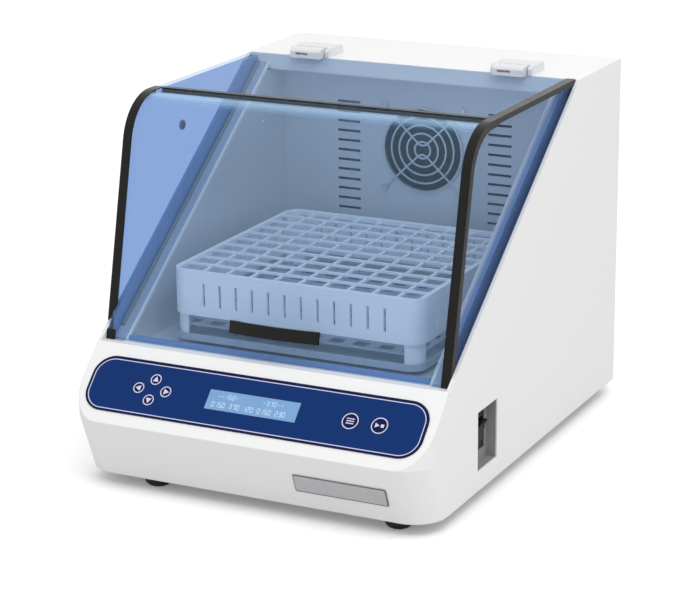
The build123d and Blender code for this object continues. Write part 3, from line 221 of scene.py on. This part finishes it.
# Pulleys and drive plate: aluminium, machined from bar and sheet and left bare.
# The pulleys are keyed to the crank and the motor, and the plate rides on the pins.
brushed("machined_aluminium", tint(205, 207, 209), 0.32, 0.9, (0.3, 1, 1), "crank_pulley",
        "motor_pulley", "drive_plate")

# Opening frame: one white moulding, let into the slanted opening and glued to the
# shell. The hood rests on its sunk flanges, which are painted grey-blue: painted shade under the hood.
slant_foot_y, slant_foot_z = -0.2195, 0.157
slant = math.radians(35.98)
flange_depth, flange_fade = 0.0060, 0.00125
rim_x, rim_fade = 0.1925, 0.00033


def clamped(wire):
    """A wire held between 0 and 1."""
    return wire.finish.node("Clamp", sockets={0: wire})


moulding = Finish("white_moulding")
skin = moulding.noise(300, 2)
x, y, z = moulding.axes()
under = (y - slant_foot_y) * math.sin(slant) - (z - slant_foot_z) * math.cos(slant)
sunk = clamped((under - flange_depth) / flange_fade)
beside_rim = clamped((abs(x) - rim_x) / rim_fade)
white = moulding.blend(skin * 0.4, tint(238, 239, 241), tint(230, 232, 235))
# Painted shade: the sunk flanges beside the rim are coloured grey-blue.
colour = moulding.blend(sunk * beside_rim, white, tint(166, 178, 194))
moulding.dress(moulding.surface(Base_Color=colour, Roughness=0.34 + skin * 0.08,
                                Normal=moulding.bump(skin, 0.00004, 0.3)), "opening_frame")

# Chamber liner, heater and power supply case: stainless sheet, brushed level, folded
# and spot welded. The liner has pressed louvres and is screwed into the shell.
brushed("brushed_stainless", tint(226, 229, 233), 0.36, 0.45, (0.06, 0.06, 1.6), "chamber_liner",
        "heater_element", "power_supply")

# Air duct: a folded steel box, riveted behind the chamber's louvres. It is coloured near
# black as painted shade, so the louvres look dark from the front.
mottled("painted_shade_black_steel", tint(44, 46, 50), tint(64, 66, 70), 120, "air_duct",
        rough=0.65, spread=0.1, Metallic=0.3)

# Fan: a frame and an impeller of matt black glass-filled nylon, both moulded.
# Four screws hold the frame and the wire guard to the chamber's back wall.
# The nylon's real black is deepened further as painted shade behind the guard.
mottled("matt_nylon_and_painted_shade", tint(20, 21, 23), tint(34, 35, 38), 320, "fan_frame", "fan_impeller",
        rough=0.7, Specular_IOR_Level=0.25)

# Fan guard, screws and hinge pins: steel with bright nickel plating. The guard is
# bent from wire into rings and spot welded to its spokes.
mottled("bright_plating", tint(226, 229, 233), tint(204, 208, 213), 220, "fan_guard", "case_screws",
        "hinge_pins", detail=2, rough=0.24, spread=0.10, Metallic=0.85)

# Tube rack, its shelf and the tray: bent steel sheet and flat bars, welded and dipped
# in a pale blue-grey coat. The rack stands on the tray, which is a shade darker.


def dipped_coat(name, light, dark, *pieces):
    coat = Finish(name)
    cloud = coat.noise(26, 3)
    skin = coat.noise(600, 2)
    relief = coat.bump(skin, 0.00004, 0.3, over=coat.soft_edge(0.0007))
    shader = coat.surface(Base_Color=coat.blend(cloud, light, dark), Roughness=0.36 + cloud * 0.1,
                          Normal=relief)
    coat.dress(shader, *pieces)


dipped_coat("rack_coat", tint(250, 252, 255), tint(240, 244, 250), "rack_frame", "rack_bars_long",
            "rack_bars_cross")
dipped_coat("tray_coat", tint(186, 196, 208), tint(170, 181, 194), "platform_tray")
# The shelf under the cells is coloured darker than the tray: painted shade in the cells.
dipped_coat("shelf_coat_painted_shade", tint(176, 186, 199), tint(158, 169, 183), "rack_shelf")

# Seal: a strip of grey closed-cell foam rubber with fine pores. It is cut to length
# and stuck on the opening frame's flange, under the hood.
mottled("foam_rubber", tint(118, 124, 132), tint(142, 148, 156), 1400, "opening_seal",
        rough=0.85, relief=(0.0002, 0.6))

# Hood sheets: blue-tinted acrylic, sawn, bent over a hot bar at the front, and glued.
# Light that goes through a face takes its colour, and every face is glossy.
front_tint = (0.85, 0.90, 0.96)
# Both side panels are the same acrylic: the left one's deeper tint is painted shade and the right one's paler
# tint is painted light.
left_painted_shade_tint = (0.585, 0.675, 0.85)
right_painted_light_tint = (0.81, 0.855, 0.915)
flat_sheen, bent_sheen = (0.35, 0.55, 0.85), (0.42, 0.66, 0.90)
face_gloss, grazing_gloss, glint_gloss = 0.055, 0.18, 0.45
# The glint is a painted highlight: a pale band along the front sheet's bend.
glint_back, glint_half_w, glint_drop, glint_fade = 0.0272, 0.009, 0.011, 0.001


def acrylic(name, through, sheen, sheet_node, bent=False):
    """Clear sheet. through is the colour that one face lets through. A bent one gets a painted highlight
    along its bend.
    """
    sheet = Finish(name)
    clear = sheet.node("BsdfTransparent", sockets={"Color": opaque(through)})
    ripple = sheet.noise(7, 2)
    skin = sheet.surface(Base_Color=sheen, Roughness=0.05, Normal=sheet.bump(ripple, 0.0002, 0.05))
    facing = sheet.node("LayerWeight", sockets={"Blend": 0.25}, out="Facing")
    gloss = face_gloss + facing ** 3 * grazing_gloss
    if bent:
        low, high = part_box(sheet_node)
        _, y, z = sheet.axes()
        # Painted highlight: a band just under the bent sheet's top edge gets more of the pale glossy skin.
        painted_glint_band = clamped(1 - abs(y - (high.y - glint_back)) / glint_half_w)
        gloss = gloss + painted_glint_band * clamped((z - (high.z - glint_drop)) / glint_fade) * glint_gloss
    sheet.dress(sheet.node("MixShader", sockets={0: gloss, 1: clear, 2: skin}), sheet_node)


acrylic("hood_acrylic", front_tint, flat_sheen, "hood_top_sheet")
acrylic("hood_bent_acrylic", front_tint, bent_sheen, "hood_front_sheet", bent=True)
acrylic("hood_side_acrylic", left_painted_shade_tint, flat_sheen, "hood_side_left")
acrylic("hood_side_acrylic_painted_light", right_painted_light_tint, flat_sheen, "hood_side_right")

# Stiffeners: thicker acrylic strips, glued inside the side panels and along the hood's
# bottom edge. They are thick enough to look solid blue, with polished faces.
strip = Finish("hood_strip_acrylic")
drift = strip.noise(12, 2)
strip.dress(strip.surface(Base_Color=strip.blend(drift, tint(110, 143, 194), tint(97, 129, 182)),
                          Roughness=0.12, Coat_Weight=0.3 + drift * 0.1), "hood_stiffeners")

# Stud: a cap screw with a darker zinc plating, put through the hood's left side panel
# and held by a nut.
mottled("zinc_plating", tint(126, 134, 146), tint(96, 104, 118), 160, "hood_stud",
        rough=0.3, spread=0.1, Metallic=0.8)

# Black mouldings: the seam strip, edge trims, corner pieces and bowed handle, pressed
# and glued on the hood, and the switch and mains inlet, snapped into the case. They
# are glossy ABS with faint flow marks.
mottled("black_moulding", tint(15, 14, 13), tint(26, 25, 24), 40, "hood_seam_strip", "hood_front_trims",
        "hood_corner_pieces", "hood_top_trim", "hood_handle", "power_rocker", "switch_body", "power_inlet",
        rough=0.22, spread=0.14, relief=(0.0002, 0.2), Specular_IOR_Level=0.2)

# Hinges: a base screwed to the top panel and an arm on the hood, of white moulded
# nylon, each with a sunk screw slot. Each pair turns on a plated pin.
mottled("white_nylon", tint(226, 227, 230), tint(214, 216, 220), 300, "hinge_bases", "hinge_arms",
        detail=2, share=0.4, rough=0.4, spread=0.08, relief=(0.00004, 0.3))

# Switch recess: a pocket folded from grey-coated sheet. It is spot welded behind the
# cut-out in the right-hand wall.
mottled("pocket_grey", tint(150, 150, 151), tint(136, 136, 138), 90, "switch_pocket",
        detail=2, rough=0.5, spread=0.1)

# Circuit board: green glass-fibre laminate under a solder mask. It is screwed to
# posts behind the control panel and carries the display and the key switches.
mottled("board_laminate", tint(22, 92, 58), tint(34, 112, 72), 500, "control_board", detail=2, rough=0.4)

# Control overlay: a polyester film printed from behind in navy, with a darker border
# and a thin pale line. It is cut round the display window and stuck on the panel.
foot_y, foot_z = -0.292, 0.0855
run, rise = 0.0725, 0.0715
panel_length = math.hypot(run, rise)
panel_middle = 0.0495
overlay_half_w, overlay_half_h, overlay_corner = 0.209, 0.0345, 0.025
border = 0.0030
line_inset, line_half_w = 0.0036, 0.0005
navy = tint(10, 48, 108)
dark_navy = tint(14, 20, 70)
pale_line = tint(214, 214, 236)


def larger(first, second):
    return first.maths("MAXIMUM", first, second)


def smaller(first, second):
    return first.maths("MINIMUM", first, second)


def up_slope(y, z):
    """How far up the slope a place is from the panel's middle, for numbers or wires."""
    return ((y - foot_y) * run + (z - foot_z) * rise) / panel_length - panel_middle


def on_slope(finish):
    """Across and up the slope from the panel's middle, in metres."""
    x, y, z = finish.axes()
    return x, up_slope(y, z)


def within(distance, softness=0.00012):
    """1 where a distance is below zero, with a soft edge."""
    return clamped(0.5 - distance / softness)


def rounded_box(x, v, half_w, half_h, radius):
    """Distance to the outline of a box with rounded corners."""
    over_x = abs(x) - (half_w - radius)
    over_v = abs(v) - (half_h - radius)
    outside = (larger(over_x, 0.0) ** 2 + larger(over_v, 0.0) ** 2) ** 0.5
    return outside + smaller(larger(over_x, over_v), 0.0) - radius


overlay = Finish("overlay_film")
x, v = on_slope(overlay)
outline = rounded_box(x, v, overlay_half_w, overlay_half_h, overlay_corner)
line = within(abs(outline + line_inset) - line_half_w)
ground = overlay.blend(within(outline + border), dark_navy, navy)
grain = overlay.noise(1500, 2)
shader = overlay.surface(Base_Color=overlay.blend(line, ground, pale_line), Roughness=0.45 + grain * 0.08,
                         Specular_IOR_Level=0.10, Normal=overlay.bump(grain, 0.00003, 0.25))
overlay.dress(shader, "control_membrane")

# Keys: domed caps of the same film over snap switches. Each has a pale ring and a pale
# sign: an arrow on four of them, three bars and a play-and-stop sign on the round ones.
ring_inset, ring_half_w = 0.0012, 0.0006
face_inset = 0.0016
side_slant = (0.88, 0.47)


def key_face(name, sign):
    """Print on a key, round the middle of its cap."""
    low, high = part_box(name)
    middle, radius = (low + high) / 2, (high.x - low.x) / 2
    print_film = Finish(name + "_print")
    x, v = on_slope(print_film)
    x, v = x - middle.x, v - up_slope(middle.y, middle.z)
    reach = (x ** 2 + v ** 2) ** 0.5
    ring = within(abs(reach - (radius - ring_inset)) - ring_half_w)
    face = print_film.blend(within(reach - (radius - face_inset)), navy, dark_navy)
    colour = print_film.blend(larger(ring, sign(x, v)), face, pale_line)
    print_film.dress(print_film.surface(Base_Color=colour, Roughness=0.45, Specular_IOR_Level=0.10), name)


def triangle(across, along, side, foot):
    """Distance to a triangle that points along. side and foot are its reach from the middle."""
    return larger(abs(across) * side_slant[0] + along * side_slant[1] - side, along * -1 - foot)


def up_arrow(x, v):
    return within(triangle(x, v, 0.0020, 0.0024))


def left_arrow(x, v):
    return within(triangle(v, x * -1, 0.0020, 0.0024))


def right_arrow(x, v):
    return within(triangle(v, x, 0.0020, 0.0024))


def down_arrow(x, v):
    return within(triangle(x, v * -1, 0.0020, 0.0024))


def three_bars(x, v):
    pitch, half_w, half_l = 0.0028, 0.0006, 0.0046
    nearest = smaller(abs(v), smaller(abs(v - pitch), abs(v + pitch)))
    return within(larger(nearest - half_w, abs(x) - half_l))


def play_stop(x, v):
    play = triangle(v, x + 0.0024, 0.0012, 0.0028)
    stop = larger(abs(x - 0.0034), abs(v)) - 0.0019
    return within(smaller(play, stop))


key_face("key_up", up_arrow)
key_face("key_down", down_arrow)
key_face("key_left", left_arrow)
key_face("key_right", right_arrow)
key_face("key_menu", three_bars)
key_face("key_start", play_stop)

# Display: a backlit liquid-crystal glass, clipped into a frame behind the panel's
# window. It is pale blue, a little uneven, and gives some light of its own.
glass = Finish("display_glass")
mottle = glass.noise(60, 2)
backlight = glass.blend(mottle, tint(104, 146, 192), tint(120, 162, 206))
glass.dress(glass.surface(Base_Color=backlight, Roughness=0.22, Emission_Color=backlight,
                          Emission_Strength=0.12), "lcd_module")

# Figures: the lit cells of the display, in an upper row of two short groups and a
# lower row. Each cell is a thin bar with pointed ends, just on the glass.
glass_lift = 0.00093
cell_half_t, cell_half_w = 0.00006, 0.00024
figure_pitch = 0.0044
cells_of = {"0": "abcdef", "1": "bc", "2": "abged", "3": "abgcd", "5": "afgcd", "7": "abc", "-": "g", " ": ""}
cell_ends = {"a": (0, 2, 1, 2), "b": (1, 1, 1, 2), "c": (1, 0, 1, 1), "d": (0, 0, 1, 0), "e": (0, 0, 0, 1),
             "f": (0, 1, 0, 2), "g": (0, 1, 1, 1)}
sides = [(i, 6 + i, 6 + (i + 1) % 6, (i + 1) % 6) for i in range(6)]
cell_faces = [tuple(range(6)), tuple(range(11, 5, -1)), *sides]


def figure_cells(text, left, foot, width, height):
    """Start and end of each lit cell in a row of figures, as places on the slope."""
    for place, figure in enumerate(text):
        for name in cells_of[figure]:
            x0, v0, x1, v1 = cell_ends[name]
            x0, x1 = (left + place * figure_pitch + x * width for x in (x0, x1))
            v0, v1 = (foot + v * height / 2 for v in (v0, v1))
            yield Vector((x0, v0)), Vector((x1, v1))


def cell_points(start, end):
    """Corners of one cell, six on its face and six under them."""
    point = (end - start).normalized() * cell_half_w
    side = Vector((-point.y, point.x))
    outline = [start, start + point - side, end - point - side, end, end - point + side, start + point + side]
    for lift in (glass_lift + cell_half_t, glass_lift - cell_half_t):
        for x, v in outline:
            along = panel_middle + v
            yield (x, foot_y + (along * run - lift * rise) / panel_length,
                   foot_z + (along * rise + lift * run) / panel_length)


cells = [*figure_cells("--150-", -0.044, 0.0028, 0.0026, 0.0048),
         *figure_cells("-370--", 0.012, 0.0028, 0.0026, 0.0048),
         *figure_cells("0150 370 120 0150 230", -0.049, -0.0082, 0.0028, 0.0058)]
points, faces = [], []
for start, end in cells:
    faces += [[len(points) + corner for corner in face] for face in cell_faces]
    points += cell_points(start, end)
figures_mesh = bpy.data.meshes.new("display_figures")
figures_mesh.from_pydata(points, [], faces)
figures = bpy.data.objects.new("display_figures", figures_mesh)
scene.collection.objects.link(figures)
lit_cell = Finish("lit_cell")
speck = lit_cell.noise(800, 2)
shade = lit_cell.blend(speck, tint(226, 238, 250), tint(206, 224, 243))
lit_cell.dress(lit_cell.surface(Base_Color=shade, Roughness=0.4, Emission_Color=shade,
                                Emission_Strength=0.15), figures)
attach(figures, "housing")

# Front plate: a bare plate of satin aluminium, stamped with a rolled rim and stuck on
# the lower face. The rim is darker, and nothing is printed on the plate.
rim_w, rim_corner = 0.0013, 0.0016
low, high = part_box("nameplate")
middle, half = (low + high) / 2, (high - low) / 2
satin = Finish("satin_plate")
x, _, z = satin.axes()
inner = rounded_box(x - middle.x, z - middle.z, half.x - rim_w, half.z - rim_w, rim_corner)
rim = 1 - within(inner, 0.0004)
grain = satin.noise(900, 3, (0.05, 1, 1))
face = satin.blend(grain, tint(206, 206, 208), tint(184, 185, 188))
relief = satin.bump(grain * 0.08 + within(inner, 0.0012), 0.0004, 0.6)
satin.dress(satin.surface(Base_Color=satin.blend(rim, face, tint(112, 113, 118)), Metallic=0.6,
                          Roughness=0.32 + grain * 0.1, Normal=relief), "nameplate")

# Bench: a plain white laminate top, much larger than the shaker, which stands on it on
# its feet. It shows white to the camera and grey to the light that it throws back.
bench_reach = 6
bench_mesh = bpy.data.meshes.new("bench")
corners = [(x * bench_reach, y * bench_reach, 0) for x, y in ((-1, -1), (1, -1), (1, 1), (-1, 1))]
bench_mesh.from_pydata(corners, [], [(0, 1, 2, 3)])
bench = bpy.data.objects.new("bench", bench_mesh)
scene.collection.objects.link(bench)
laminate = Finish("bench_white")
camera_ray = laminate.node("LightPath", out="Is Camera Ray")
seen = larger(camera_ray, camera_ray.beside("Is Transmission Ray"))
colour = laminate.blend(seen, tint(222, 222, 222), tint(252, 252, 252))
lift = laminate.blend(seen, (0, 0, 0), (0.16, 0.16, 0.16))
laminate.dress(laminate.surface(Base_Color=colour, Roughness=0.9, Emission_Color=lift,
                                Emission_Strength=1.0), bench)

# Studio: a white room that lights the shaker evenly from all round, and one broad soft
# lamp hung over its front right. Glossy and clear faces see the room as plain white.
room_strength = 0.86
lamp_place, lamp_target = Vector((1.2, -1.05, 2.65)), Vector((0, 0, 0.2))
room = bpy.data.worlds.new("white_room")
walls = Finish("white_room", room)
camera_ray = walls.node("LightPath", out="Is Camera Ray")
seen = larger(camera_ray, camera_ray.beside("Is Transmission Ray"))
seen = larger(seen, camera_ray.beside("Is Glossy Ray"))
glow = walls.node("Background", sockets={"Color": (1, 1, 1, 1),
                                         "Strength": room_strength + seen * (1 - room_strength)})
walls.node("OutputWorld", sockets={"Surface": glow})
scene.world = room
softbox = bpy.data.lights.new("over_front", "AREA")
softbox.size = 1.6
softbox.energy = 24
lamp = bpy.data.objects.new("over_front", softbox)
lamp.location = lamp_place
lamp.rotation_euler = (lamp_target - lamp_place).to_track_quat("-Z", "Y").to_euler()
scene.collection.objects.link(lamp)

# Camera: a long lens from the front right, a little above the hood. Its place, turn and
# lens come from a fit to the housing's corners in the photograph.
photo_w = 700
focal_px = 2391.63
shift_px = (-3.56, -1.36)
sensor_mm = 36.0
camera_place = Vector((1.1979, -2.4302, 0.9900))
yaw, pitch, roll = (math.radians(angle) for angle in (26.277, 16.780, -0.472))
right = Vector((math.cos(yaw), math.sin(yaw), 0))
ahead = Vector((-math.sin(yaw) * math.cos(pitch), math.cos(yaw) * math.cos(pitch), -math.sin(pitch)))
up = right.cross(ahead)
rolled_right = math.cos(roll) * right + math.sin(roll) * up
rolled_up = math.cos(roll) * up - math.sin(roll) * right
lens = bpy.data.cameras.new("camera")
lens.sensor_width = sensor_mm
lens.lens = focal_px / photo_w * sensor_mm
lens.shift_x, lens.shift_y = (shift / photo_w for shift in shift_px)
lens.clip_end = 20
camera = bpy.data.objects.new("camera", lens)
turn = Matrix((rolled_right, rolled_up, -ahead)).transposed().to_4x4()
camera.matrix_world = Matrix.Translation(camera_place) @ turn
scene.collection.objects.link(camera)
scene.camera = camera
scene.view_settings.view_transform = "Standard"
